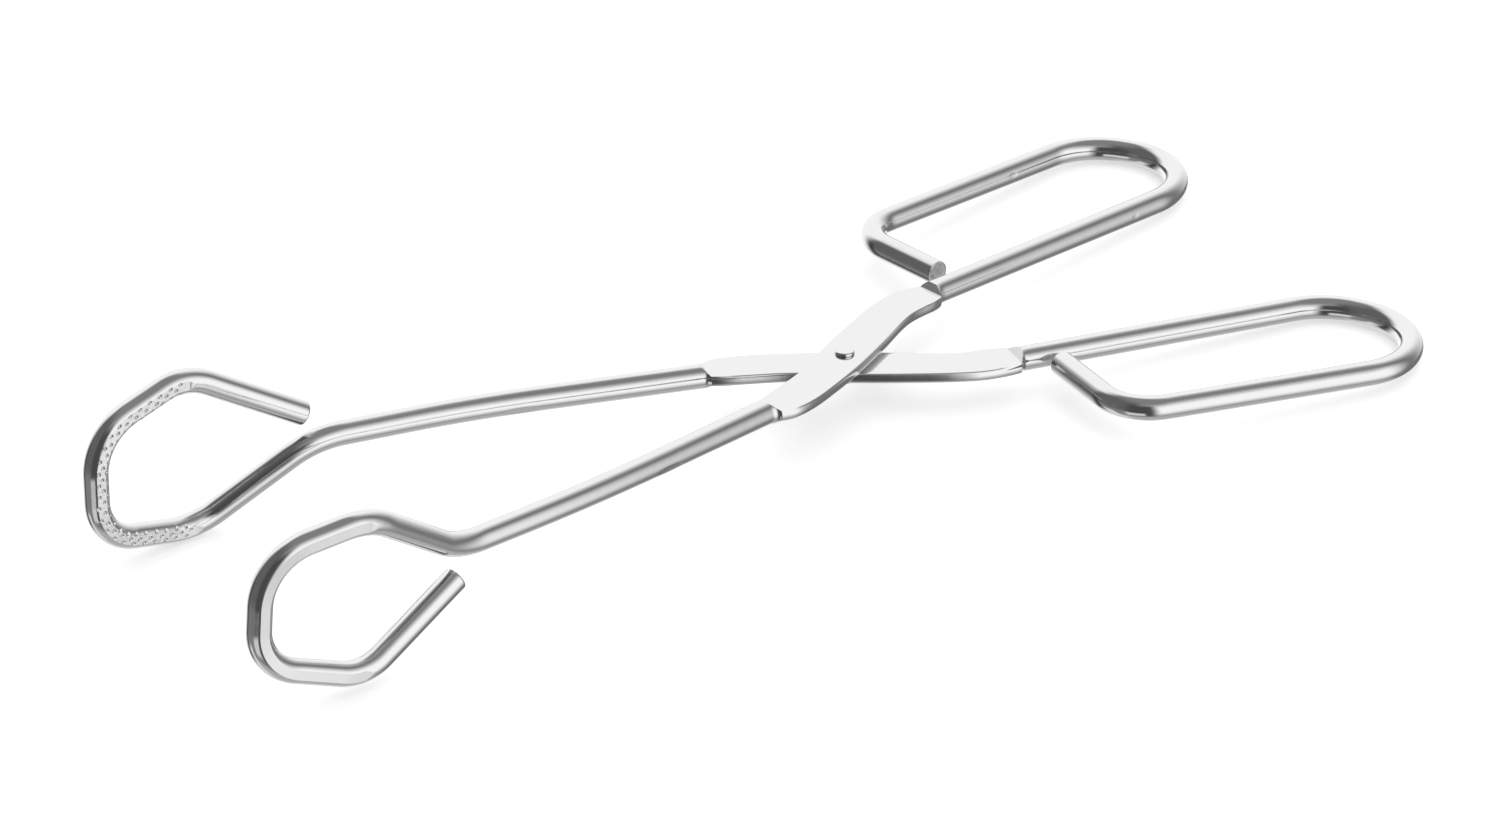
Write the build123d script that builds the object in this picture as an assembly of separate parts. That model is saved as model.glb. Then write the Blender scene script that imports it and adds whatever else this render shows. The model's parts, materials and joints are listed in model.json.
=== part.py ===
from build123d import *
import os

# Wire scissor tongs, in millimetres. Two nearly alike steel wire arms cross and turn on one rivet.
# Each arm is drawn in the pivot frame: the rivet is the Z axis, the flats of the two arms meet
# at Z = 0, the jaws reach towards -X and the finger loops towards +X. The lower arm is drawn as
# the upper arm is and then turned half a turn about X. At the end the tool is laid on a table.

# Wire stock and its pressed middle
WIRE_D = 5.0
WIRE_R = WIRE_D / 2
END_EDGE_R = 0.5
FLAT_T = 2.1
FLAT_EDGE_R = 0.45
FLAT_GAP = 0.1
WIRE_Z = (FLAT_T + FLAT_GAP) / 2
SHOULDER_ANGLE = 45.0

# Rivet: the upper arm turns on it, the lower arm is pressed on it
RIVET_R = 1.6
BORE_CLEARANCE = 0.06
HEAD_PLAY = 0.05
UPPER_HEAD_R = 2.0
UPPER_HEAD_H = 1.2
LOWER_HEAD_R = 2.9
LOWER_HEAD_H = 1.3
HEAD_EDGE_R = 0.3

# Finger loops, flat in the plane Z = WIRE_Z: corners of their routes and their bend radii.
# They are bent by hand and differ a little. The lower arm's loop is drawn before its half turn.
UPPER_LOOP = [(36.9, 21.5), (32.8, 45.4), (96.5, 56.0), (109.4, 40.0), (99.7, 26.7), (28.5, 14.1)]
UPPER_LOOP_BENDS = [10.7, 15.7, 13.2, 17.9]
LOWER_LOOP = [(37.8, 20.3), (36.2, 44.5), (97.5, 57.5), (107.1, 40.4), (97.9, 26.1), (28.5, 14.1)]
LOWER_LOOP_BENDS = [9.6, 14.6, 16.2, 16.1]

# Jaw wire: a shank that comes down to the middle plane, then an upright loop with six sides.
# The loop is alike above and below that plane, so each of its corners is named once.
SHANK_START = (-25.0, -11.2)
SHANK_MIDDLE = (-72.0, -21.6)
SHANK_KNEE = (-104.7, -25.9)
LOOP_BACK = (-129.1, -33.0, 16.8)
LOOP_TIP = (-150.3, -30.8, 11.0)
LOOP_END = (-105.4, -27.9, -4.6)
SHANK_BEND = 500.0
KNEE_BEND = 17.8
BACK_BEND = 13.2
TIP_BEND = 11.0

# Edges of the pressed flat, from the jaw end to the handle end
FLAT_LEFT_EDGE = [(-28.0, -9.8), (-22.9, -6.8), (-11.3, -1.5), (-0.2, 5.7), (8.8, 11.0),
                  (16.7, 15.2), (22.7, 17.2), (28.0, 17.0), (32.0, 16.1)]
FLAT_RIGHT_EDGE = [(32.0, 13.6), (30.2, 11.2), (27.5, 9.6), (20.2, 6.8), (10.0, 0.3),
                   (-0.2, -5.9), (-9.2, -10.6), (-15.5, -13.5), (-21.0, -15.0), (-25.2, -14.2),
                   (-28.0, -12.4)]

HALF_TURN = Rot(180, 0, 0)


def loop_path(corners, bends):
    """Centre line of a finger loop, from its free end to the flat."""
    return FilletPolyline(*[(x, y, WIRE_Z) for x, y in corners], radius=bends)


def jaw_path():
    """Centre line of the shank and the gripping loop, from the flat to the free end."""
    run = (SHANK_START[0] - SHANK_MIDDLE[0]) / (SHANK_START[0] - SHANK_KNEE[0])
    corners = [
        (*SHANK_START, WIRE_Z),
        (*SHANK_MIDDLE, WIRE_Z * (1 - run)),
        (*SHANK_KNEE, 0),
        LOOP_BACK,
        LOOP_TIP,
        (LOOP_TIP[0], LOOP_TIP[1], -LOOP_TIP[2]),
        (LOOP_BACK[0], LOOP_BACK[1], -LOOP_BACK[2]),
        LOOP_END,
    ]
    bends = [SHANK_BEND, KNEE_BEND, BACK_BEND, TIP_BEND, TIP_BEND, BACK_BEND]
    return FilletPolyline(*corners, radius=bends)


def bent_wire(path, free_end):
    """Round wire along a path, with a rounded edge at its free end (0 first, 1 last)."""
    section = Plane(origin=path @ 0, z_dir=path % 0) * Circle(WIRE_R)
    wire = sweep(section, path=path)
    rim = wire.edges().filter_by(GeomType.CIRCLE).sort_by_distance(path @ free_end)[0]
    return fillet(rim, END_EDGE_R)


def bevel_to_flat(wire, end, along):
    """Cuts the wire end at the flat to two sloping shoulders, above and below its axis."""
    size = 4 * WIRE_D
    seat = Plane(origin=(end.X, end.Y, WIRE_Z), x_dir=(along.X, along.Y, 0), z_dir=(0, 0, 1))
    for side in (1, -1):
        block = Pos(0, 0, side * size / 2) * Box(size, size, size)
        wire -= seat * Pos(0, 0, side * FLAT_T / 2) * Rot(0, -side * SHOULDER_ANGLE, 0) * block
    return wire


def pressed_flat():
    """The S-shaped flat middle of the arm, without its bore."""
    left = Spline(*FLAT_LEFT_EDGE)
    right = Spline(*FLAT_RIGHT_EDGE)
    ends = [Line(left @ 1, right @ 0), Line(right @ 1, left @ 0)]
    outline = Wire([left.edge(), ends[0].edge(), right.edge(), ends[1].edge()])
    plate = extrude(Pos(0, 0, WIRE_Z - FLAT_T / 2) * Face(outline), FLAT_T, dir=(0, 0, 1))
    long_rims = plate.edges().filter_by(lambda rim: rim.geom_type != GeomType.LINE)
    return fillet(long_rims, FLAT_EDGE_R)


def arm(handle, bore_r):
    """One whole arm with the given finger loop and a bore for the rivet."""
    jaw = jaw_path()
    handle_wire = bevel_to_flat(bent_wire(handle, 0), handle @ 1, -(handle % 1))
    jaw_wire = bevel_to_flat(bent_wire(jaw, 1), jaw @ 0, jaw % 0)
    bore = Pos(0, 0, WIRE_Z) * Cylinder(bore_r, 2 * WIRE_D)
    return pressed_flat() + handle_wire + jaw_wire - bore


def pivot_rivet():
    """Factory head below, shank through both flats, upset head above."""
    arms_top = FLAT_GAP / 2 + FLAT_T
    shank_h = 2 * arms_top + HEAD_PLAY
    up = (Align.CENTER, Align.CENTER, Align.MIN)
    down = (Align.CENTER, Align.CENTER, Align.MAX)
    lower_head = Pos(0, 0, -arms_top) * Cylinder(LOWER_HEAD_R, LOWER_HEAD_H, align=down)
    lower_head = fillet(lower_head.edges().group_by(Axis.Z)[0], HEAD_EDGE_R)
    shank = Pos(0, 0, -arms_top) * Cylinder(RIVET_R, shank_h, align=up)
    upper_head = Pos(0, 0, arms_top + HEAD_PLAY) * Cylinder(UPPER_HEAD_R, UPPER_HEAD_H, align=up)
    upper_head = fillet(upper_head.edges().group_by(Axis.Z)[-1], HEAD_EDGE_R)
    return lower_head + shank + upper_head


def lowest_point(path, up, steps=600):
    """The lowest of many points along a path, with the given direction as up."""
    return min((path @ (step / steps) for step in range(steps + 1)), key=lambda point: point.dot(up))


def table_up(upper_loop, lower_loop):
    """Up direction, in the pivot frame, of the table that carries the tool.

    It stands on three places: both finger loops and the lower arm's gripping loop.
    """
    supports = [upper_loop, HALF_TURN * lower_loop, HALF_TURN * jaw_path()]
    up = Vector(0, 0, 1)
    for _ in range(4):
        first, second, third = (lowest_point(path, up) for path in supports)
        up = (third - first).cross(second - first).normalized()
        if up.Z < 0:
            up = -up
    return up


def main():
    upper_loop = loop_path(UPPER_LOOP, UPPER_LOOP_BENDS)
    lower_loop = loop_path(LOWER_LOOP, LOWER_LOOP_BENDS)
    nodes = {
        "upper_arm": arm(upper_loop, RIVET_R + BORE_CLEARANCE),
        "lower_arm": HALF_TURN * arm(lower_loop, RIVET_R),
        "pivot_rivet": pivot_rivet(),
    }
    up = table_up(upper_loop, lower_loop)
    table = Plane(origin=(0, 0, 0), x_dir=Vector(0, 1, 0).cross(up), z_dir=up)
    laid = {name: table.location.inverse() * shape for name, shape in nodes.items()}
    box = Compound(children=list(laid.values())).bounding_box()
    centre = box.center()
    place = Pos(-centre.X, -centre.Y, -box.min.Z) * table.location.inverse()

    os.makedirs("parts", exist_ok=True)
    for name, shape in nodes.items():
        export_step(place * shape, f"parts/{name}.step")

    pivot = place * Pos(0, 0, 0)
    axis = (place * Pos(0, 0, 1)).position - pivot.position
    print("size", [round(side, 2) for side in box.size])
    print("pivot at", [round(value, 3) for value in pivot.position])
    print("pivot axis", [round(value, 6) for value in axis])


main()
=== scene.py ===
"""Looks of the wire scissor tongs: two bent steel wire arms and the rivet that they turn on."""

import json
import logging
import math
from dataclasses import dataclass, field
from enum import Enum

import bmesh
import bpy
from mathutils import Matrix, Vector


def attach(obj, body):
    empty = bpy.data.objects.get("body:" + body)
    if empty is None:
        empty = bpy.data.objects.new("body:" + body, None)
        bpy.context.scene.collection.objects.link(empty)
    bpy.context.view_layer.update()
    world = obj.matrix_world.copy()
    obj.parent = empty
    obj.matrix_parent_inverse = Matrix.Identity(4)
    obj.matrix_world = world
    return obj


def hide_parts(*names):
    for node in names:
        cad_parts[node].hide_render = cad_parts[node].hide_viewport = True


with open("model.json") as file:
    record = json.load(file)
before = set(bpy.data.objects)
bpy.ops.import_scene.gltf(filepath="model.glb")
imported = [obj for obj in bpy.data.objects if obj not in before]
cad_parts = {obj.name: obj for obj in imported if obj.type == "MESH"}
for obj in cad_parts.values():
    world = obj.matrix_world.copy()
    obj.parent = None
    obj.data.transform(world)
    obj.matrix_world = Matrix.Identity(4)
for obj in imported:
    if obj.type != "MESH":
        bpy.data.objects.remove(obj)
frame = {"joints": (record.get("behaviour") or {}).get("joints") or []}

MM = 0.001
log = logging.getLogger("tongs")


# ---------------- helpers for nodes and meshes

def srgb(code: str) -> tuple[float, float, float, float]:
    """Turns an sRGB hex colour into linear red, green, blue and full alpha."""
    parts = [int(code[i:i + 2], 16) / 255 for i in (1, 3, 5)]
    linear = [c / 12.92 if c <= 0.04045 else ((c + 0.055) / 1.055) ** 2.4 for c in parts]
    return (*linear, 1.0)


def add_node(tree: bpy.types.NodeTree, kind: str, settings: dict | None = None,
             inputs: dict | None = None) -> bpy.types.Node:
    """Adds a node with its settings and what goes into its sockets.

    Args:
        tree: The node tree that gets the node.
        kind: The node's type name.
        settings: Properties of the node.
        inputs: Sockets by name or number, each with a value, or an output socket to link.

    Returns:
        The new node.
    """
    node = tree.nodes.new(kind)
    for name, value in (settings or {}).items():
        setattr(node, name, value)
    for key, value in (inputs or {}).items():
        if isinstance(value, bpy.types.NodeSocket):
            tree.links.new(value, node.inputs[key])
        else:
            node.inputs[key].default_value = value
    return node


def stand(name: str, data) -> bpy.types.Object:
    """Puts a mesh, a lamp or a camera into the scene, at the origin."""
    thing = bpy.data.objects.new(name, data)
    bpy.context.scene.collection.objects.link(thing)
    return thing


def bare_material(name: str) -> tuple[bpy.types.Material, bpy.types.NodeTree]:
    """Makes a material with an empty node tree, and gives both."""
    material = bpy.data.materials.new(name)
    material.use_nodes = True
    material.node_tree.nodes.clear()
    return material, material.node_tree


class Maths:
    """Writes formulas as chains of math nodes in one tree."""

    def __init__(self, tree: bpy.types.NodeTree) -> None:
        """Keeps the tree that the nodes go into."""
        self.tree = tree

    def __call__(self, operation: str, *values) -> bpy.types.NodeSocket:
        """Adds one math node and returns its result.

        Args:
            operation: The name of the math operation.
            values: One to three numbers or sockets.

        Returns:
            The output socket.
        """
        inputs = dict(enumerate(values))
        return add_node(self.tree, "ShaderNodeMath", {"operation": operation}, inputs).outputs[0]

    def ramp(self, value, start, end, low=0.0, high=1.0, way="LINEAR") -> bpy.types.NodeSocket:
        """Goes evenly from low at start to high at end, and stays there."""
        inputs = {"Value": value, "From Min": start, "From Max": end, "To Min": low, "To Max": high}
        return add_node(self.tree, "ShaderNodeMapRange", {"interpolation_type": way}, inputs).outputs[0]

    def step(self, value, start, end, low=0.0, high=1.0) -> bpy.types.NodeSocket:
        """Goes smoothly from low at start to high at end, and stays there."""
        return self.ramp(value, start, end, low, high, "SMOOTHSTEP")

    def mix(self, share, low, high) -> bpy.types.NodeSocket:
        """Mixes two numbers: low where share is 0 and high where it is 1."""
        difference = self("SUBTRACT", high, low)
        return self("MULTIPLY_ADD", difference, share, low)


# ---------------- finishes

class Coordinate(Enum):
    """Where a finish takes its pattern from."""

    STRAIGHT_WIRE = "straight_wire"
    OBJECT = "object"


@dataclass(frozen=True)
class BrightSteel:
    """Bright chromium-plated steel, formed cold: a near-mirror metal that still shows its forming.

    The drawing die leaves fine lines along the wire, the bending leaves slow ripples, and handling
    clouds the polish. Real drawing lines are finer: these are as coarse as they need to be to show.
    Sizes are in millimetres.
    """

    name: str
    coordinate: Coordinate
    colour: str = "#E4E4E5"
    roughness: float = 0.09
    roughness_spread: float = 0.05
    line_spacing: float = 0.14
    line_length: float = 22.0
    line_height: float = 0.0012
    line_strength: float = 0.35
    cloud_size: float = 9.0
    cloud_edges: tuple[float, float] = (0.15, 0.40)
    ripple_size: float = 2.6
    ripple_height: float = 0.012

    def material(self) -> bpy.types.Material:
        """Builds the metal with its lines and clouded polish.

        Returns:
            The material.
        """
        material, tree = bare_material(self.name)
        maths = Maths(tree)
        place = self._place(tree)
        along, across = 1 / (self.line_length * MM), 1 / (self.line_spacing * MM)
        lines_at = add_node(tree, "ShaderNodeVectorMath", {"operation": "MULTIPLY"},
                            {0: place, 1: (along, across, across)})
        lines = add_node(tree, "ShaderNodeTexNoise", None,
                         {"Vector": lines_at.outputs[0], "Scale": 1.0, "Detail": 3.0})
        clouds = add_node(tree, "ShaderNodeTexNoise", None,
                          {"Vector": place, "Scale": 1 / (self.cloud_size * MM), "Detail": 4.0})
        dull = maths("MULTIPLY", lines.outputs["Fac"], clouds.outputs["Fac"])
        duller = self.roughness + self.roughness_spread
        roughness = maths.ramp(dull, *self.cloud_edges, self.roughness, duller)
        ripple = add_node(tree, "ShaderNodeTexNoise", None,
                          {"Vector": place, "Scale": 1 / (self.ripple_size * MM), "Detail": 1.0})
        waves = add_node(tree, "ShaderNodeBump", None, {
            "Height": ripple.outputs["Fac"], "Strength": 1.0, "Distance": self.ripple_height * MM})
        bump = add_node(tree, "ShaderNodeBump", None, {
            "Height": lines.outputs["Fac"], "Strength": self.line_strength,
            "Distance": self.line_height * MM, "Normal": waves.outputs[0]})
        shader = add_node(tree, "ShaderNodeBsdfPrincipled", None, {
            "Base Color": srgb(self.colour), "Metallic": 1.0,
            "Roughness": roughness, "Normal": bump.outputs[0]})
        add_node(tree, "ShaderNodeOutputMaterial", None, {"Surface": shader.outputs[0]})
        return material

    def _place(self, tree: bpy.types.NodeTree) -> bpy.types.NodeSocket:
        """Gives the pattern's coordinates in metres."""
        if self.coordinate is Coordinate.STRAIGHT_WIRE:
            settings = {"attribute_name": "straight_wire"}
            return add_node(tree, "ShaderNodeAttribute", settings).outputs["Vector"]
        return add_node(tree, "ShaderNodeTexCoord").outputs["Object"]


@dataclass(frozen=True)
class ShearedSteel:
    """Raw steel where the wire was sheared: pale grey, torn and matt, with fine grains."""

    name: str = "sheared_steel"
    colour: str = "#DCDCDA"
    dark: str = "#A9A9AA"
    shades: tuple[float, float] = (0.32, 0.62)
    grain: float = 0.55
    grain_height: float = 0.08
    grain_strength: float = 0.6
    roughness: float = 0.5
    metallic: float = 0.45

    def material(self) -> bpy.types.Material:
        """Builds the torn metal.

        Returns:
            The material.
        """
        material, tree = bare_material(self.name)
        place = add_node(tree, "ShaderNodeTexCoord").outputs["Object"]
        grains = add_node(tree, "ShaderNodeTexNoise", None,
                          {"Vector": place, "Scale": 1 / (self.grain * MM), "Detail": 5.0})
        shade = add_node(tree, "ShaderNodeValToRGB", None, {"Fac": grains.outputs["Fac"]})
        for element, position, colour in zip(shade.color_ramp.elements, self.shades,
                                             (self.dark, self.colour)):
            element.position = position
            element.color = srgb(colour)
        bump = add_node(tree, "ShaderNodeBump", None, {
            "Height": grains.outputs["Fac"], "Strength": self.grain_strength,
            "Distance": self.grain_height * MM})
        shader = add_node(tree, "ShaderNodeBsdfPrincipled", None, {
            "Base Color": shade.outputs["Color"], "Metallic": self.metallic,
            "Roughness": self.roughness, "Normal": bump.outputs[0]})
        add_node(tree, "ShaderNodeOutputMaterial", None, {"Surface": shader.outputs[0]})
        return material


# ---------------- the wire's route

@dataclass
class Span:
    """One straight run or one bend of the wire."""

    start: Vector
    along: Vector
    length: float
    radius: float = 0.0
    inward: Vector = field(default_factory=Vector)

    def place(self, run: float) -> tuple[Vector, Vector]:
        """Gives the point and the direction at a distance along this span."""
        if not self.radius:
            return self.start + self.along * run, self.along
        turn = run / self.radius
        offset = self.along * math.sin(turn) + self.inward * (1 - math.cos(turn))
        direction = self.along * math.cos(turn) + self.inward * math.sin(turn)
        return self.start + self.radius * offset, direction


class WireRoute:
    """The centre line of a bent wire: straight runs joined by round bends."""

    def __init__(self, corners: list[Vector], bends: list[float]) -> None:
        """Lays the spans.

        Args:
            corners: The corners that the straight runs would meet in, with both ends.
            bends: The radius of the bend at each corner between the ends.

        Raises:
            ValueError: A bend is too wide for the straight run before it.
        """
        self.spans: list[Span] = []
        here = corners[0]
        for corner, after, radius in zip(corners[1:-1], corners[2:], bends):
            along = (corner - here).normalized()
            onward = (after - corner).normalized()
            turn = along.angle(onward)
            cut = radius * math.tan(turn / 2)
            run = (corner - here).length - cut
            if run < 0:
                raise ValueError(f"the bend of radius {radius} doesn't fit before {tuple(corner)}")
            self.spans.append(Span(here, along, run))
            inward = (onward - along * along.dot(onward)).normalized()
            self.spans.append(Span(corner - along * cut, along, radius * turn, radius, inward))
            here = corner + onward * cut
        self.spans.append(Span(here, (corners[-1] - here).normalized(), (corners[-1] - here).length))
        self.length = sum(span.length for span in self.spans)

    def place(self, run: float) -> tuple[Vector, Vector]:
        """Gives the point and the direction at a distance from the first end."""
        for span in self.spans[:-1]:
            if run <= span.length:
                return span.place(run)
            run -= span.length
        return self.spans[-1].place(run)

    def run_at(self, point: Vector, step: float = 0.1) -> float:
        """Gives the distance along the route that is nearest to a point."""
        count = int(self.length / step)
        return min((step * i for i in range(count)), key=lambda run: (self.place(run)[0] - point).length)


def smooth_line(points: list[tuple[float, float]], steps: int = 12) -> list[Vector]:
    """Draws a smooth line through a few points in a plane.

    Args:
        points: The points that the line passes through.
        steps: How many short pieces each stretch is drawn with.

    Returns:
        Points along the line.
    """
    knots = [Vector(point) for point in points]
    knots = [2 * knots[0] - knots[1], *knots, 2 * knots[-1] - knots[-2]]
    line = []
    for before, start, end, after in zip(knots, knots[1:], knots[2:], knots[3:]):
        for step in range(steps):
            t = step / steps
            pull = (end - before) / 2 * (t ** 3 - 2 * t ** 2 + t) + (after - start) / 2 * (t ** 3 - t ** 2)
            line.append(start * (2 * t ** 3 - 3 * t ** 2 + 1) + end * (3 * t ** 2 - 2 * t ** 3) + pull)
    return [*line, knots[-2]]


def reach(line: list[Vector], point: Vector, sideways: Vector) -> float:
    """Measures how far a line lies from a point in one direction.

    Args:
        line: Points along the line.
        point: Where the measure starts.
        sideways: The direction of the measure, of length 1.

    Returns:
        The distance to where the line crosses that direction, or 0 where it doesn't.
    """
    along = Vector((sideways.y, -sideways.x))
    for start, end in zip(line, line[1:]):
        a, b = (start - point).dot(along), (end - point).dot(along)
        if a * b <= 0 and a != b:
            crossing = start + (end - start) * (a / (a - b)) - point
            if crossing.dot(sideways) > 0:
                return crossing.dot(sideways)
    return 0.0


# ---------------- the pressed wire tree

@dataclass
class Station:
    """The wire's section at one place along its run."""

    run: float
    point: Vector
    side: Vector
    press: Vector
    half_left: float
    half_right: float
    clamp: float
    arc_height: float
    arc_depth: float
    roundness: float
    trim: float
    pitted: float
    sloped: float
    cut: float
    dent: float = 0.0
    dent_turn: float = 0.0
    dent_half: float = 1.0

    LENGTHS = ("run", "half_left", "half_right", "clamp", "arc_height", "arc_depth", "dent")
    SHARES = ("roundness", "trim", "pitted", "sloped", "cut", "dent_turn", "dent_half")


class PressedWireTree:
    """Geometry Nodes that sweep a wire whose section is pressed flat along part of its run.

    The section is a round arc on each side, clamped between two flat faces. The wire's own
    measures come from its stations, and the pits on its gripping face from the inputs here.
    """

    INPUTS = {
        "Face Angle": 23.0,
        "Grip Columns": 22,
        "Side Columns": 28,
        "Back Columns": 10,
        "Wire Radius": 2.5 * MM,
        "Crease Angle": 24.0,
        "Pit Spacing": 2.45 * MM,
        "Row Spacing": 0.95 * MM,
        "Row Shift": 0.3 * MM,
        "Pit Radius": 0.46 * MM,
        "Pit Depth": 0.26 * MM,
        "Rim Height": 0.015 * MM,
        "Seed": 7,
    }
    PIT_WANDER = 0.32
    PIT_LEAST, PIT_SPREAD = 0.8, 0.3
    BOWL_FLOOR = 0.25
    RIM_START, RIM_TOP, RIM_END = 0.8, 1.1, 1.6
    DENT_FLOOR = 0.45
    FLAG = 0.9

    def __init__(self) -> None:
        """Builds the tree."""
        self.tree = bpy.data.node_groups.new("pressed_wire", "GeometryNodeTree")
        face = self.tree.interface
        face.new_socket("Stations", in_out="INPUT", socket_type="NodeSocketGeometry")
        for name, value in self.INPUTS.items():
            kind = "NodeSocketInt" if isinstance(value, int) else "NodeSocketFloat"
            face.new_socket(name, in_out="INPUT", socket_type=kind).default_value = value
        for name in ("Steel", "Pressed Steel", "Pitted Steel", "Cut Steel"):
            face.new_socket(name, in_out="INPUT", socket_type="NodeSocketMaterial")
        face.new_socket("Wire", in_out="OUTPUT", socket_type="NodeSocketGeometry")
        self.maths = Maths(self.tree)
        self.given = add_node(self.tree, "NodeGroupInput").outputs
        angle = self._number("turn")
        sine, cosine = self.maths("SINE", angle), self.maths("COSINE", angle)
        wire = self._sweep()
        wire = self._press(wire, sine, cosine)
        wire = self._crease(wire)
        wire = self._pit(wire, sine, cosine)
        wire = self._dent(wire, sine, cosine)
        self._finish(wire, sine, cosine)

    def _number(self, name: str, kind: str = "FLOAT") -> bpy.types.NodeSocket:
        """Reads a number, or a vector, that is stored on the wire."""
        return add_node(self.tree, "GeometryNodeInputNamedAttribute", {"data_type": kind},
                        {"Name": name}).outputs["Attribute"]

    def _scaled(self, vector, length) -> bpy.types.NodeSocket:
        """Scales a vector."""
        return add_node(self.tree, "ShaderNodeVectorMath", {"operation": "SCALE"},
                        {0: vector, "Scale": length}).outputs[0]

    def _raise(self, wire, height) -> bpy.types.NodeSocket:
        """Moves every point outwards along its normal."""
        normal = add_node(self.tree, "GeometryNodeInputNormal").outputs[0]
        return add_node(self.tree, "GeometryNodeSetPosition", None,
                        {"Geometry": wire, "Offset": self._scaled(normal, height)}).outputs[0]

    def _sweep(self) -> bpy.types.NodeSocket:
        """Sweeps a ring along the stations. Each column of the ring knows its turn about the wire."""
        maths, given = self.maths, self.given
        face = maths("RADIANS", given["Face Angle"])
        flat_turn = maths("MULTIPLY", face, 2.0)
        side_turn = maths("SUBTRACT", math.pi, flat_turn)
        index = add_node(self.tree, "GeometryNodeInputIndex").outputs[0]
        turn, start = maths("MULTIPLY", face, -1.0), 0.0
        stretches = (("Grip Columns", flat_turn), ("Side Columns", side_turn),
                     ("Back Columns", flat_turn), ("Side Columns", side_turn))
        for columns, span in stretches:
            end = maths("ADD", start, given[columns])
            turn = maths("ADD", turn, maths.ramp(index, start, end, 0.0, span))
            start = end
        ring = add_node(self.tree, "GeometryNodeCurvePrimitiveCircle", {"mode": "RADIUS"},
                        {"Resolution": start, "Radius": given["Wire Radius"]})
        ring = add_node(self.tree, "GeometryNodeStoreNamedAttribute", {"data_type": "FLOAT"},
                        {"Geometry": ring.outputs[0], "Name": "turn", "Value": turn})
        line = add_node(self.tree, "GeometryNodeMeshToCurve", None, {"Mesh": given["Stations"]})
        return add_node(self.tree, "GeometryNodeCurveToMesh", None, {
            "Curve": line.outputs[0], "Profile Curve": ring.outputs[0], "Fill Caps": True}).outputs[0]

    def _press(self, wire, sine, cosine) -> bpy.types.NodeSocket:
        """Moves every point of the swept ring to its place on the pressed section."""
        maths = self.maths
        clamp, height, depth = (self._number(name) for name in ("clamp", "arc_height", "arc_depth"))
        face = maths("RADIANS", self.given["Face Angle"])
        from_face = maths("ARCTAN2", maths("ABSOLUTE", sine), maths("ABSOLUTE", cosine))
        on_face = maths("MINIMUM", maths("DIVIDE", from_face, face), 1.0)
        clamped = maths("ARCCOSINE", maths("MINIMUM", maths("DIVIDE", clamp, height), 1.0))
        crease = maths("MAXIMUM", maths("MULTIPLY", face, self._number("roundness")), clamped)
        beyond = maths("MAXIMUM", maths("SUBTRACT", from_face, face), 0.0)
        share = maths("DIVIDE", beyond, maths("SUBTRACT", math.pi / 2, face))
        side_angle = maths.mix(share, crease, math.pi / 2)
        outward = maths("MULTIPLY", maths("SINE", side_angle), on_face)
        upward = maths("SQRT", maths("SUBTRACT", 1.0, maths("MULTIPLY", outward, outward)))
        left = maths("GREATER_THAN", sine, 0.0)
        half = maths.mix(left, self._number("half_right"), self._number("half_left"))
        flat_half = maths("MULTIPLY", maths("SUBTRACT", half, depth), on_face)
        across = maths("MULTIPLY", maths("MULTIPLY_ADD", depth, outward, flat_half), maths("SIGN", sine))
        over = maths("MINIMUM", maths("MULTIPLY", height, upward), clamp)
        over = maths("MULTIPLY", over, maths("SIGN", cosine))
        trim = self._number("trim")
        across, over = maths("MULTIPLY", across, trim), maths("MULTIPLY", over, trim)
        place = self._number("centre", "FLOAT_VECTOR")
        for direction, distance in (("side", across), ("press", over)):
            offset = self._scaled(self._number(direction, "FLOAT_VECTOR"), distance)
            place = add_node(self.tree, "ShaderNodeVectorMath", {"operation": "ADD"},
                             {0: place, 1: offset}).outputs[0]
        moved = add_node(self.tree, "GeometryNodeSetPosition", None, {"Geometry": wire, "Position": place})
        straight = add_node(self.tree, "ShaderNodeCombineXYZ", None,
                            {"X": self._number("run"), "Y": across, "Z": over})
        return add_node(self.tree, "GeometryNodeStoreNamedAttribute", {"data_type": "FLOAT_VECTOR"}, {
            "Geometry": moved.outputs[0], "Name": "straight_wire", "Value": straight.outputs[0]}).outputs[0]

    def _crease(self, wire) -> bpy.types.NodeSocket:
        """Keeps the creases crisp and everything else smooth."""
        angle = add_node(self.tree, "GeometryNodeInputMeshEdgeAngle").outputs["Unsigned Angle"]
        sharp = self.maths("GREATER_THAN", angle, self.maths("RADIANS", self.given["Crease Angle"]))
        wire = add_node(self.tree, "GeometryNodeSetShadeSmooth", {"domain": "FACE"},
                        {"Geometry": wire, "Shade Smooth": True}).outputs[0]
        return add_node(self.tree, "GeometryNodeSetShadeSmooth", {"domain": "EDGE"}, {
            "Geometry": wire, "Selection": sharp, "Shade Smooth": False}).outputs[0]

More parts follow.
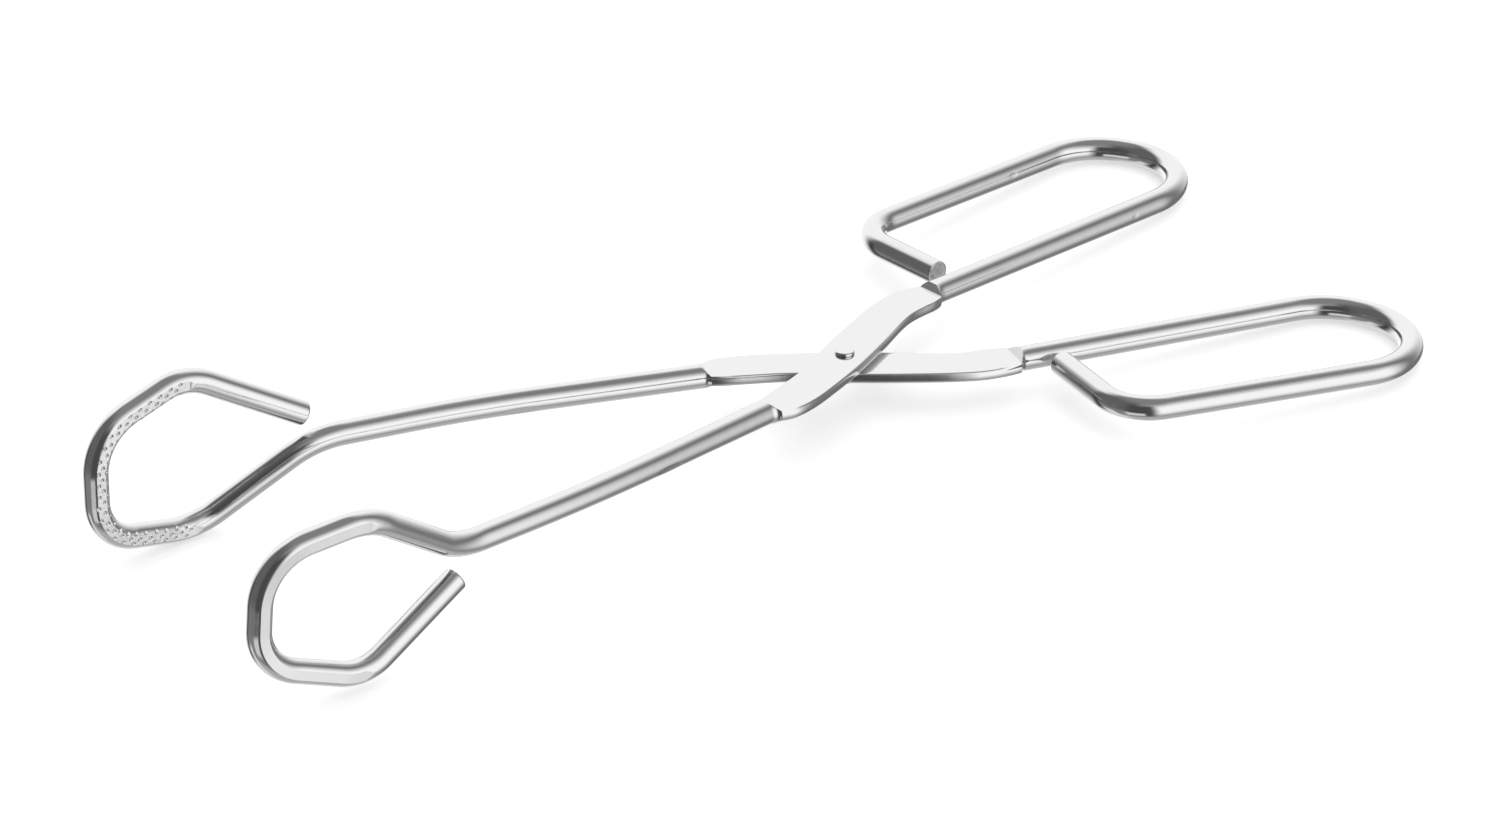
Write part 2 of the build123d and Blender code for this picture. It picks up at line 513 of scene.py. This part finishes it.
    def _pit(self, wire, sine, cosine) -> bpy.types.NodeSocket:
        """Presses staggered rows of small pits with a raised rim into the gripping face."""
        maths, given = self.maths, self.given
        around = maths("MULTIPLY", maths("ARCTAN2", sine, cosine), given["Wire Radius"])
        around = maths("SUBTRACT", around, given["Row Shift"])
        row = maths("ROUND", maths("DIVIDE", around, given["Row Spacing"]))
        row = maths("MAXIMUM", maths("MINIMUM", row, 1.0), -1.0)
        shift = maths("MULTIPLY", maths("ABSOLUTE", row), 0.5)
        step = maths("ADD", maths("DIVIDE", self._number("run"), given["Pit Spacing"]), shift)
        name = maths("MULTIPLY_ADD", row, 1000.0, maths("FLOOR", step))
        wander = add_node(self.tree, "FunctionNodeRandomValue", {"data_type": "FLOAT_VECTOR"}, {
            "ID": name, "Seed": given["Seed"], 0: (-1.0, -1.0, 0.0), 1: (1.0, 1.0, 1.0)})
        wander = add_node(self.tree, "ShaderNodeSeparateXYZ", None, {0: wander.outputs[0]}).outputs
        slip = maths("MULTIPLY", given["Pit Radius"], self.PIT_WANDER)
        along = maths("MULTIPLY", maths("SUBTRACT", maths("FRACT", step), 0.5), given["Pit Spacing"])
        along = maths("MULTIPLY_ADD", wander[0], slip, along)
        across = maths("SUBTRACT", around, maths("MULTIPLY", row, given["Row Spacing"]))
        across = maths("MULTIPLY_ADD", wander[1], slip, across)
        size = maths("MULTIPLY_ADD", wander[2], self.PIT_SPREAD, self.PIT_LEAST)
        radius = maths("MULTIPLY", given["Pit Radius"], size)
        squares = maths("ADD", maths("MULTIPLY", along, along), maths("MULTIPLY", across, across))
        away = maths("DIVIDE", maths("SQRT", squares), radius)
        bowl = maths.step(away, self.BOWL_FLOOR, 1.0, 1.0, 0.0)
        bowl = maths("MULTIPLY", bowl, given["Pit Depth"])
        rise = maths.step(away, self.RIM_START, self.RIM_TOP)
        rim = maths("MULTIPLY", rise, maths.step(away, self.RIM_TOP, self.RIM_END, 1.0, 0.0))
        height = maths("SUBTRACT", maths("MULTIPLY", rim, given["Rim Height"]), bowl)
        return self._raise(wire, maths("MULTIPLY", height, self._number("pitted")))

    def _dent(self, wire, sine, cosine) -> bpy.types.NodeSocket:
        """Presses the shallow oval marks that the bending tools leave."""
        maths = self.maths
        turn = maths("SUBTRACT", maths("ARCTAN2", sine, cosine), self._number("dent_turn"))
        away = maths("ABSOLUTE", maths("WRAP", turn, math.pi, -math.pi))
        away = maths("DIVIDE", away, self._number("dent_half"))
        share = maths.step(away, self.DENT_FLOOR, 1.0, 1.0, 0.0)
        return self._raise(wire, maths("MULTIPLY", maths("MULTIPLY", share, self._number("dent")), -1.0))

    def _finish(self, wire, sine, cosine) -> None:
        """Realizes the wire and dresses its round part, shoulders, grip and sheared end."""
        maths = self.maths
        dressed = add_node(self.tree, "GeometryNodeRealizeInstances", None, {"Geometry": wire}).outputs[0]
        from_face = maths("ARCTAN2", maths("ABSOLUTE", sine), maths("ABSOLUTE", cosine))
        on_face = maths("LESS_THAN", from_face, maths("RADIANS", self.given["Face Angle"]))
        gripping = maths("MULTIPLY", on_face, maths("GREATER_THAN", cosine, 0.0))
        sloped = maths("GREATER_THAN", self._number("sloped"), self.FLAG)
        pitted = maths("GREATER_THAN", self._number("pitted"), 0.0)
        dresses = {
            "Steel": True,
            "Pressed Steel": maths("MULTIPLY", on_face, sloped),
            "Pitted Steel": maths("MULTIPLY", gripping, pitted),
            "Cut Steel": maths("GREATER_THAN", self._number("cut"), self.FLAG),
        }
        for finish, where in dresses.items():
            dressed = add_node(self.tree, "GeometryNodeSetMaterial", None, {
                "Geometry": dressed, "Selection": where, "Material": self.given[finish]}).outputs[0]
        add_node(self.tree, "NodeGroupOutput", None, {"Wire": dressed})

    def apply(self, name: str, stations: list[Station], placing: Matrix,
              finishes: dict[str, bpy.types.Material]) -> bpy.types.Object:
        """Sweeps one wire.

        Args:
            name: The piece's name.
            stations: The sections along the wire, in millimetres.
            placing: Takes millimetres in the pivot frame to metres in the model.
            finishes: The material for each material input of the tree.

        Returns:
            A plain mesh object at the origin.
        """
        line = bpy.data.meshes.new(name + "_stations")
        count = len(stations)
        centres = [placing @ s.point for s in stations]
        line.from_pydata(centres, [(i, i + 1) for i in range(count - 1)], [])
        turn = placing.to_3x3().normalized()
        self._store(line, "FLOAT", {n: [getattr(s, n) * MM for s in stations] for n in Station.LENGTHS})
        self._store(line, "FLOAT", {n: [getattr(s, n) for s in stations] for n in Station.SHARES})
        self._store(line, "FLOAT_VECTOR", {
            "side": [turn @ s.side for s in stations],
            "press": [turn @ s.press for s in stations],
            "centre": centres})
        source = stand(name + "_stations", line)
        modifier = source.modifiers.new("pressed_wire", "NODES")
        modifier.node_group = self.tree
        sockets = {item.name: item.identifier for item in self.tree.interface.items_tree}
        for finish, material in finishes.items():
            modifier[sockets[finish]] = material
        bpy.context.view_layer.update()
        swept = source.evaluated_get(bpy.context.evaluated_depsgraph_get())
        mesh = bpy.data.meshes.new_from_object(swept)
        bpy.data.objects.remove(source)
        mesh.name = name
        for spare in (*Station.LENGTHS, *Station.SHARES, "side", "press", "centre", "turn"):
            mesh.attributes.remove(mesh.attributes[spare])
        return stand(name, mesh)

    @staticmethod
    def _store(mesh: bpy.types.Mesh, kind: str, values: dict[str, list]) -> None:
        """Stores values on the mesh's points, one attribute for each name."""
        for name, numbers in values.items():
            attribute = mesh.attributes.new(name, kind, "POINT")
            for place, number in zip(attribute.data, numbers):
                if kind == "FLOAT":
                    place.value = number
                else:
                    place.vector = number


# ---------------- the arms and their rivet

@dataclass
class PivotFrame:
    """Where the rivet is and how the tool lies, from the model's own hinge."""

    origin: Vector
    axis: Vector

    @classmethod
    def from_joint(cls, joint: dict) -> "PivotFrame":
        """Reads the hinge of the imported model."""
        return cls(Vector(joint["pos_m"]), Vector(joint["axis"]).normalized())

    def matrix(self, half_turn: bool = False) -> Matrix:
        """Takes millimetres in the pivot frame to metres in the model.

        Args:
            half_turn: Turns the piece over about the frame's X axis, as the lower arm is.

        Returns:
            The transform.
        """
        y_axis = self.axis.cross(Vector((1, 0, 0))).normalized()
        x_axis = y_axis.cross(self.axis)
        turn = Matrix((x_axis, y_axis, self.axis)).transposed().to_4x4()
        flip = Matrix.Rotation(math.pi, 4, "X") if half_turn else Matrix.Identity(4)
        return Matrix.Translation(self.origin) @ turn @ Matrix.Scale(MM, 4) @ flip


@dataclass(frozen=True)
class ToolMark:
    """A shallow oval mark on the wire: where it is, which way it faces, and its size in millimetres."""

    run: float
    facing: tuple[float, float, float]
    length: float
    width: float
    depth: float


@dataclass
class WireArm:
    """One arm: a single bent wire, round but for its pressed middle and its gripping loop.

    Sizes are in millimetres in the pivot frame, where the flats meet at Z = 0. The sizes given here
    are the upper arm's: the arms are bent by hand and differ a little.
    """

    name: str
    body: str
    half_turn: bool
    wire_r: float = 2.5
    flat_half: float = 1.05
    level: float = 1.1
    handle: tuple = ((36.9, 21.5), (32.8, 45.4), (96.5, 56.0), (109.4, 40.0), (99.7, 26.7))
    handle_bends: tuple = (9.2, 15.7, 13.2, 15.7)
    flat: tuple = ((21.0, 12.8), (-14.7, -8.9))
    flat_bends: tuple = (26.0, 32.0)
    shank: tuple = ((-25.0, -11.2), (-72.0, -21.4), (-104.5, -25.9))
    shank_bends: tuple = (60.0, 500.0, 17.8)
    loop: tuple = ((-128.0, -33.0, 15.9), (-149.5, -30.8, 12.0), (-150.6, -30.8, -10.1),
                   (-129.3, -33.0, -16.8))
    loop_bends: tuple = (12.1, 12.1, 10.3, 11.7)
    loop_end: tuple = (-106.0, -28.0, -4.9)
    foot_by_handle: tuple = (29.6, 14.3)
    foot_by_jaw: tuple = (-25.0, -11.2)
    left_edge: tuple = ((-28.0, -9.8), (-22.9, -6.8), (-11.3, -1.5), (-0.2, 5.7), (8.8, 11.0),
                        (16.7, 15.2), (22.7, 17.2), (28.0, 17.0), (32.0, 16.1))
    right_edge: tuple = ((33.5, 14.0), (31.8, 11.6), (28.4, 9.4), (20.2, 6.8), (10.0, 0.3),
                         (-0.2, -5.9), (-9.2, -10.6), (-15.5, -13.5), (-21.0, -15.0), (-25.2, -14.2),
                         (-28.0, -12.4))
    flat_edge_depth: float = 0.45
    edge_relief: float = 5.0
    grip_overrun: float = 1.0
    grip_press: float = 0.2
    grip_ramp: float = 1.2
    pit_margin: float = 2.0
    twist_after_foot: float = 8.0
    twist_before_knee: float = 4.0
    sheared_edge: float = 0.18
    sheared_turns: tuple = (0.0, 0.3, 0.6, 0.85)
    rounded_edge: float = 0.5
    rounded_steps: int = 8
    shoulder_margin: float = 0.05
    marks: tuple[ToolMark, ...] = ()

    PLAIN_STEP = 0.8
    FLAT_STEP = 0.5
    MARK_STEP = 0.25
    RAMP_STEP = 0.2
    GRIP_STEP = 0.16
    SHOULDER_STEP = 0.1
    SHOULDER_REACH = 0.4

    def __post_init__(self) -> None:
        """Lays the wire's route and finds the places on it that its shape changes at."""
        flat_level = [Vector((x, y, self.level)) for x, y in (*self.handle, *self.flat)]
        shank = self._shank_corners()
        loop = [Vector(corner) for corner in self.loop]
        bends = [*self.handle_bends, *self.flat_bends, *self.shank_bends, *self.loop_bends]
        self.route = WireRoute([*flat_level, *shank, *loop, Vector(self.loop_end)], bends)
        self.foot_runs = [self.route.run_at(Vector((*foot, self.level)))
                          for foot in (self.foot_by_handle, self.foot_by_jaw)]
        self.knee_run = self.route.run_at(shank[-1])
        self.grip_runs = (self.route.run_at(loop[0]) - self.grip_overrun,
                          self.route.run_at(loop[-1]) + self.grip_overrun)
        self.edges = [smooth_line(self.left_edge), smooth_line(self.right_edge)]

    def _shank_corners(self) -> list[Vector]:
        """Brings the shank evenly from the level of the flats down to the middle plane."""
        start, end = self.shank[0][0], self.shank[-1][0]
        return [Vector((x, y, self.level * (end - x) / (end - start))) for x, y in self.shank]

    def _runs(self) -> list[float]:
        """Spaces the stations, close where the section changes and wide on plain wire."""
        first, last = self.foot_runs
        grip_start, grip_end = self.grip_runs
        rise = self.wire_r - self.flat_half
        reach_out = self.SHOULDER_REACH
        close = [(first - rise - reach_out, first + reach_out, self.SHOULDER_STEP),
                 (last - reach_out, last + rise + reach_out, self.SHOULDER_STEP),
                 (first, last, self.FLAT_STEP),
                 (grip_start, grip_end, self.GRIP_STEP),
                 (grip_start - self.grip_ramp, grip_end + self.grip_ramp, self.RAMP_STEP)]
        close += [(mark.run - mark.length, mark.run + mark.length, self.MARK_STEP) for mark in self.marks]
        runs, run = [], 0.0
        while run < self.route.length:
            runs.append(run)
            run += min([step for start, end, step in close if start <= run < end],
                       default=self.PLAIN_STEP)
        return runs

    def stations(self) -> list[Station]:
        """Works out the section all along the wire.

        Returns:
            The stations from the sheared end of the finger loop to the rounded end of the jaw.
        """
        made = []
        for share in self.sheared_turns:
            turn = share * math.pi / 2
            trim = 1 - self.sheared_edge * (1 - math.sin(turn)) / self.wire_r
            run = self.sheared_edge * (1 - math.cos(turn))
            made.append(self._station(run, trim, cut=1.0 if share == 0.0 else 0.0))
        length = self.route.length
        made += [self._station(run, 1.0) for run in self._runs()
                 if self.sheared_edge <= run <= length - self.rounded_edge]
        for step in range(self.rounded_steps + 1):
            turn = step / self.rounded_steps * math.pi / 2
            trim = 1 - self.rounded_edge * (1 - math.cos(turn)) / self.wire_r
            made.append(self._station(length - self.rounded_edge * (1 - math.sin(turn)), trim))
        return made

    def _station(self, run: float, trim: float, cut: float = 0.0) -> Station:
        """Works out one station.

        Args:
            run: How far along the wire it is.
            trim: The share of the section that an edge at the wire's end leaves.
            cut: 1 on the sheared face, 0 elsewhere.

        Returns:
            The station.
        """
        point, along = self.route.place(run)
        press = self._press_direction(run, along)
        side = along.cross(press)
        first, last = self.foot_runs
        outside = max(first - run, run - last, 0.0)
        inside = min(run - first, last - run)
        clamp = min(self.flat_half + outside, self.wire_r)
        relief = min(max(inside / self.edge_relief, 0.0), 1.0)
        relief = relief * relief * (3 - 2 * relief)
        arc_height = self.wire_r + (self.flat_half - self.wire_r) * relief
        arc_depth = self.wire_r + (self.flat_edge_depth - self.wire_r) * relief
        rise = self.wire_r - self.flat_half
        widths = self._widths(point, side, outside / rise)
        grip_start, grip_end = self.grip_runs
        in_grip = min(run - grip_start, grip_end - run)
        clamp -= self.grip_press * min(max(in_grip / self.grip_ramp, 0.0), 1.0)
        pitted = min(max(in_grip - self.pit_margin, 0.0), 1.0)
        sloped = 1.0 if 0.0 < outside <= rise + self.shoulder_margin else 0.0
        station = Station(run, point, side, press, *widths, clamp, arc_height, arc_depth,
                          1 - relief, trim, pitted, sloped, cut)
        self._mark(station)
        return station

    def _widths(self, point: Vector, side: Vector, away: float) -> list[float]:
        """Measures the flat to its left and right edge, narrowing to the round wire over a shoulder.

        Args:
            point: The wire's centre.
            side: The direction to its left edge.
            away: 0 on the flat, and 1 or more beyond its shoulder.

        Returns:
            The half widths to the left and to the right.
        """
        if away >= 1:
            return [self.wire_r, self.wire_r]
        flat_point = Vector((point.x, point.y))
        flat_side = Vector((side.x, side.y)).normalized()
        reaches = [reach(edge, flat_point, towards)
                   for edge, towards in zip(self.edges, (flat_side, -flat_side))]
        return [self.wire_r + max(width - self.wire_r, 0.0) * (1 - away) for width in reaches]

    def _mark(self, station: Station) -> None:
        """Gives a station its share of a tool mark, if it is on one."""
        for mark in self.marks:
            share = abs(station.run - mark.run) / (mark.length / 2)
            if share < 1:
                facing = Vector(mark.facing)
                bulge = math.sqrt(1 - share * share)
                station.dent = mark.depth * bulge
                station.dent_turn = math.atan2(facing.dot(station.side), facing.dot(station.press))
                station.dent_half = mark.width / 2 * bulge / self.wire_r + 0.01

    def _press_direction(self, run: float, along: Vector) -> Vector:
        """Turns from upright, in the flat, to crosswise, in the gripping loop."""
        start, end = self.foot_runs[1] + self.twist_after_foot, self.knee_run - self.twist_before_knee
        share = min(max((run - start) / (end - start), 0.0), 1.0)
        share = share * share * (3 - 2 * share)
        upright = Vector((0, 0, 1)) - along * along.z
        crosswise = Vector((0, 1, 0)) - along * along.y
        angle = share * math.pi / 2
        press = upright.normalized() * math.cos(angle) + crosswise.normalized() * math.sin(angle)
        return (press - along * along.dot(press)).normalized()

    def build(self, tree: PressedWireTree, pivot: PivotFrame,
              finishes: dict[str, bpy.types.Material]) -> bpy.types.Object:
        """Makes the arm and lets it ride on its body.

        Args:
            tree: The tree that sweeps the wire.
            pivot: Where the rivet is.
            finishes: The material for each material input of the tree.

        Returns:
            The arm.
        """
        piece = tree.apply(self.name, self.stations(), pivot.matrix(self.half_turn), finishes)
        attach(piece, self.body)
        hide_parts(self.body)
        return piece


@dataclass
class PivotRivet:
    """The rivet: a factory head below, a shank through both flats and an upset head above."""

    name: str = "rivet"
    body: str = "lower_arm"
    shank_r: float = 1.6
    upper_r: float = 2.0
    upper_h: float = 0.75
    lower_r: float = 2.9
    lower_h: float = 1.3
    edge_r: float = 0.4
    crown: float = 0.08
    arms_top: float = 2.15
    play: float = 0.05
    land: float = 0.05
    edge_steps: int = 7
    crown_steps: int = 4
    crease_angle: float = 35.0
    weld: float = 1e-5
    segments: int = 72

    def _head(self, radius: float, base: float, height: float) -> list[tuple[float, float]]:
        """Draws half the outline of a head, from its base outwards and over its rounded edge."""
        up = math.copysign(1.0, height)
        top = base + height - up * self.crown
        outline = [(radius, base), (radius, base + up * self.land)]
        for step in range(self.edge_steps + 1):
            turn = step / self.edge_steps * math.pi / 2
            outline.append((radius - self.edge_r * (1 - math.cos(turn)),
                            top - up * self.edge_r * (1 - math.sin(turn))))
        inner = radius - self.edge_r
        for step in range(1, self.crown_steps + 1):
            share = 1 - step / self.crown_steps
            outline.append((inner * share, top + up * self.crown * (1 - share ** 2)))
        return outline

    def build(self, pivot: PivotFrame, steel: bpy.types.Material) -> bpy.types.Object:
        """Makes the rivet and fixes it to the lower arm.

        Args:
            pivot: Where the rivet is.
            steel: The finish of the rivet.

        Returns:
            The rivet.
        """
        upper = self._head(self.upper_r, self.arms_top + self.play, self.upper_h)
        lower = self._head(self.lower_r, -self.arms_top, -self.lower_h)
        shank = [(self.shank_r, -self.arms_top), (self.shank_r, self.arms_top + self.play)]
        outline = [*reversed(lower), *shank, *upper]
        shape = bmesh.new()
        rings = [[shape.verts.new((r * math.cos(a), r * math.sin(a), z)) for a in self._angles()]
                 for r, z in outline]
        for below, above in zip(rings, rings[1:]):
            for i in range(self.segments):
                j = (i + 1) % self.segments
                shape.faces.new((below[i], below[j], above[j], above[i]))
        bmesh.ops.remove_doubles(shape, verts=shape.verts, dist=self.weld)
        bmesh.ops.recalc_face_normals(shape, faces=shape.faces)
        for edge in shape.edges:
            edge.smooth = edge.calc_face_angle(0.0) < math.radians(self.crease_angle)
        for face in shape.faces:
            face.smooth = True
        mesh = bpy.data.meshes.new(self.name)
        shape.to_mesh(mesh)
        shape.free()
        mesh.transform(pivot.matrix())
        mesh.materials.append(steel)
        piece = stand(self.name, mesh)
        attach(piece, self.body)
        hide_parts("pivot_rivet")
        return piece

    def _angles(self) -> list[float]:
        """Spaces the segments around the axis."""
        return [2 * math.pi * i / self.segments for i in range(self.segments)]


# ---------------- the studio

@dataclass(frozen=True)
class Panel:
    """A softly edged light or dark panel of the studio, by its direction in degrees.

    Azimuth 0 is in front of the tool (-Y), 90 is at its right (+X).
    """

    azimuth: float
    elevation: float
    half_width: float
    half_height: float
    fade_sideways: float
    fade_upwards: float
    brightness: float


@dataclass
class Studio:
    """The pale floor, the light tent around the tool, and the camera."""

    surround: float = 0.26
    backdrop: float = 0.97
    floor_size: float = 60.0
    floor_colour: str = "#FBFBFB"
    floor_roughness: float = 0.9
    floor_glow: float = 0.5
    lamp_size: float = 3.0
    lamp_height: float = 2.0
    lamp_energy: float = 20.0
    panels: tuple = (
        Panel(0, -87, 200, 23, 20, 18, 0.51),
        Panel(182, -57, 68, 15, 12, 10, 0.81),
        Panel(-110, 25, 46, 29, 30, 30, 0.14),
        Panel(-149, -21, 14, 23, 8, 16, 0.06),
        Panel(141, 9, 49, 36, 31, 23, 1.12),
        Panel(59, 18, 11, 31, 64, 26, 0.22),
        Panel(3, 3, 28, 15, 42, 49, 1.17),
        Panel(-43, -2, 16, 36, 22, 31, 0.08),
        Panel(-56, -36, 16, 8, 6, 8, 0.73),
        Panel(95, -35, 20, 12, 15, 12, 0.2),
    )
    azimuth: float = -32.47
    elevation: float = 30.77
    roll: float = -1.61
    distance: float = 1.534
    lens: float = 188.5
    sensor: float = 36.0
    farthest: float = 200.0
    aim: tuple = (-0.53, 4.57)

    def build(self) -> None:
        """Makes the floor, the light and the camera."""
        self._floor()
        self._world()
        self._lamp()
        self._camera()

    def _floor(self) -> None:
        """Makes the pale floor. It isn't mirrored in the steel, which mirrors the light tent."""
        half = self.floor_size / 2
        mesh = bpy.data.meshes.new("floor")
        corners = [(-half, -half, 0), (half, -half, 0), (half, half, 0), (-half, half, 0)]
        mesh.from_pydata(corners, [], [(0, 1, 2, 3)])
        floor = stand("floor", mesh)
        material = bpy.data.materials.new("pale_floor")
        material.use_nodes = True
        shader = material.node_tree.nodes["Principled BSDF"]
        looks = {"Base Color": srgb(self.floor_colour), "Roughness": self.floor_roughness,
                 "Specular IOR Level": 0.0, "Emission Color": srgb(self.floor_colour),
                 "Emission Strength": self.floor_glow}
        for socket, value in looks.items():
            shader.inputs[socket].default_value = value
        mesh.materials.append(material)
        floor.visible_glossy = False

    def _world(self) -> None:
        """Lights the tool from panels all around it, each with a soft edge."""
        world = bpy.data.worlds.new("light_tent")
        bpy.context.scene.world = world
        world.use_nodes = True
        tree = world.node_tree
        tree.nodes.clear()
        maths = Maths(tree)
        towards = add_node(tree, "ShaderNodeTexCoord").outputs["Generated"]
        towards = add_node(tree, "ShaderNodeSeparateXYZ", None, {0: towards}).outputs
        azimuth = maths("DEGREES", maths("ARCTAN2", towards[0], maths("MULTIPLY", towards[1], -1.0)))
        elevation = maths("DEGREES", maths("ARCSINE", towards[2]))
        light = self.surround
        for panel in self.panels:
            turn = maths("WRAP", maths("SUBTRACT", azimuth, panel.azimuth), 180.0, -180.0)
            rise = maths("SUBTRACT", elevation, panel.elevation)
            across = maths.step(maths("ABSOLUTE", turn), panel.half_width,
                                panel.half_width + panel.fade_sideways, 1.0, 0.0)
            over = maths.step(maths("ABSOLUTE", rise), panel.half_height,
                              panel.half_height + panel.fade_upwards, 1.0, 0.0)
            light = maths.mix(maths("MULTIPLY", across, over), light, panel.brightness)
        seen = add_node(tree, "ShaderNodeLightPath").outputs["Is Camera Ray"]
        light = maths.mix(seen, light, self.backdrop)
        surface = add_node(tree, "ShaderNodeBackground", None, {"Color": light, "Strength": 1.0})
        add_node(tree, "ShaderNodeOutputWorld", None, {"Surface": surface.outputs[0]})

    def _lamp(self) -> None:
        """Hangs a large soft lamp over the floor, which keeps it pale and its shadows faint."""
        data = bpy.data.lights.new("overhead_softbox", "AREA")
        data.shape = "RECTANGLE"
        data.size = self.lamp_size
        data.size_y = self.lamp_size
        data.energy = self.lamp_energy
        lamp = stand("overhead_softbox", data)
        lamp.location = (0.0, 0.0, self.lamp_height)
        lamp.visible_glossy = False

    def _camera(self) -> None:
        """Points a long lens at the tool from the front left, above it."""
        turn = math.radians(self.azimuth)
        rise = math.radians(self.elevation)
        outward = Vector((math.sin(turn), -math.cos(turn), 0.0))
        back = outward * math.cos(rise) + Vector((0.0, 0.0, math.sin(rise)))
        right = Vector((math.cos(turn), math.sin(turn), 0.0))
        level = Matrix((right, back.cross(right), back)).transposed()
        axes = Matrix.Rotation(math.radians(self.roll), 3, back) @ level
        aim = (axes.col[0] * self.aim[0] + axes.col[1] * self.aim[1]) * MM
        data = bpy.data.cameras.new("camera")
        data.lens = self.lens
        data.sensor_width = self.sensor
        data.clip_end = self.farthest
        camera = stand("camera", data)
        camera.matrix_world = Matrix.Translation(aim + back * self.distance) @ axes.to_4x4()
        bpy.context.scene.camera = camera


def main() -> None:
    """Builds the tool and the studio."""
    logging.basicConfig(level=logging.INFO, format="%(name)s: %(message)s")
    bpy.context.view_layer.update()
    studio = Studio()
    studio.build()
    pivot = PivotFrame.from_joint(frame["joints"][0])
    # The shoulders keep short marks from the press, and the grip is uneven where its pits pushed it.
    finishes = {
        "Steel": BrightSteel("bright_plated_wire", Coordinate.STRAIGHT_WIRE).material(),
        "Pressed Steel": BrightSteel("pressed_shoulder", Coordinate.OBJECT, roughness=0.22,
                                     line_spacing=0.3, line_length=2.5, line_height=0.03).material(),
        "Pitted Steel": BrightSteel("pitted_grip", Coordinate.STRAIGHT_WIRE, roughness=0.12,
                                    ripple_size=0.9, ripple_height=0.05).material(),
        "Cut Steel": ShearedSteel().material(),
    }
    rivet_steel = BrightSteel("bright_plated_rivet", Coordinate.OBJECT, line_length=0.6,
                              roughness=0.12).material()
    tree = PressedWireTree()
    upper = WireArm(
        "upper_wire_arm", "upper_arm", False,
        marks=(ToolMark(63.0, (0.3, -0.9, 0.2), 2.2, 1.2, 0.05),
               ToolMark(131.0, (0.3, -0.9, 0.1), 1.8, 1.0, 0.04),
               ToolMark(278.0, (0.3, -0.9, -0.3), 6.5, 1.6, 0.09)))
    lower = WireArm(
        "lower_wire_arm", "lower_arm", True, foot_by_handle=(30.5, 14.4),
        handle=((37.8, 20.3), (36.2, 44.5), (97.5, 57.5), (107.1, 40.4), (97.9, 26.1)),
        handle_bends=(9.6, 14.6, 14.7, 16.1),
        left_edge=((-28.0, -9.8), (-22.9, -6.8), (-11.3, -1.5), (-0.2, 5.7), (8.8, 11.0),
                   (16.7, 15.3), (22.7, 17.7), (28.5, 18.4), (33.5, 17.9)),
        shank=((-25.0, -11.2), (-72.0, -22.2), (-105.0, -26.0)), shank_bends=(60.0, 250.0, 17.8),
        loop=((-127.9, -33.0, 16.3), (-149.7, -30.8, 12.0), (-150.4, -30.8, -10.5),
              (-129.4, -33.0, -17.0)),
        loop_bends=(12.0, 10.3, 11.3, 12.2), loop_end=(-106.0, -28.0, -4.7),
        marks=(ToolMark(174.0, (0.0, 0.9, 0.3), 7.0, 1.8, 0.12),
               ToolMark(284.0, (0.2, 0.9, 0.4), 7.5, 1.8, 0.1)))
    pieces = [arm.build(tree, pivot, finishes) for arm in (upper, lower)]
    pieces.append(PivotRivet().build(pivot, rivet_steel))
    for piece in pieces:
        log.info("%s has %d faces", piece.name, len(piece.data.polygons))
    bpy.context.scene.view_settings.view_transform = "Standard"


if __name__ == "__main__":
    main()
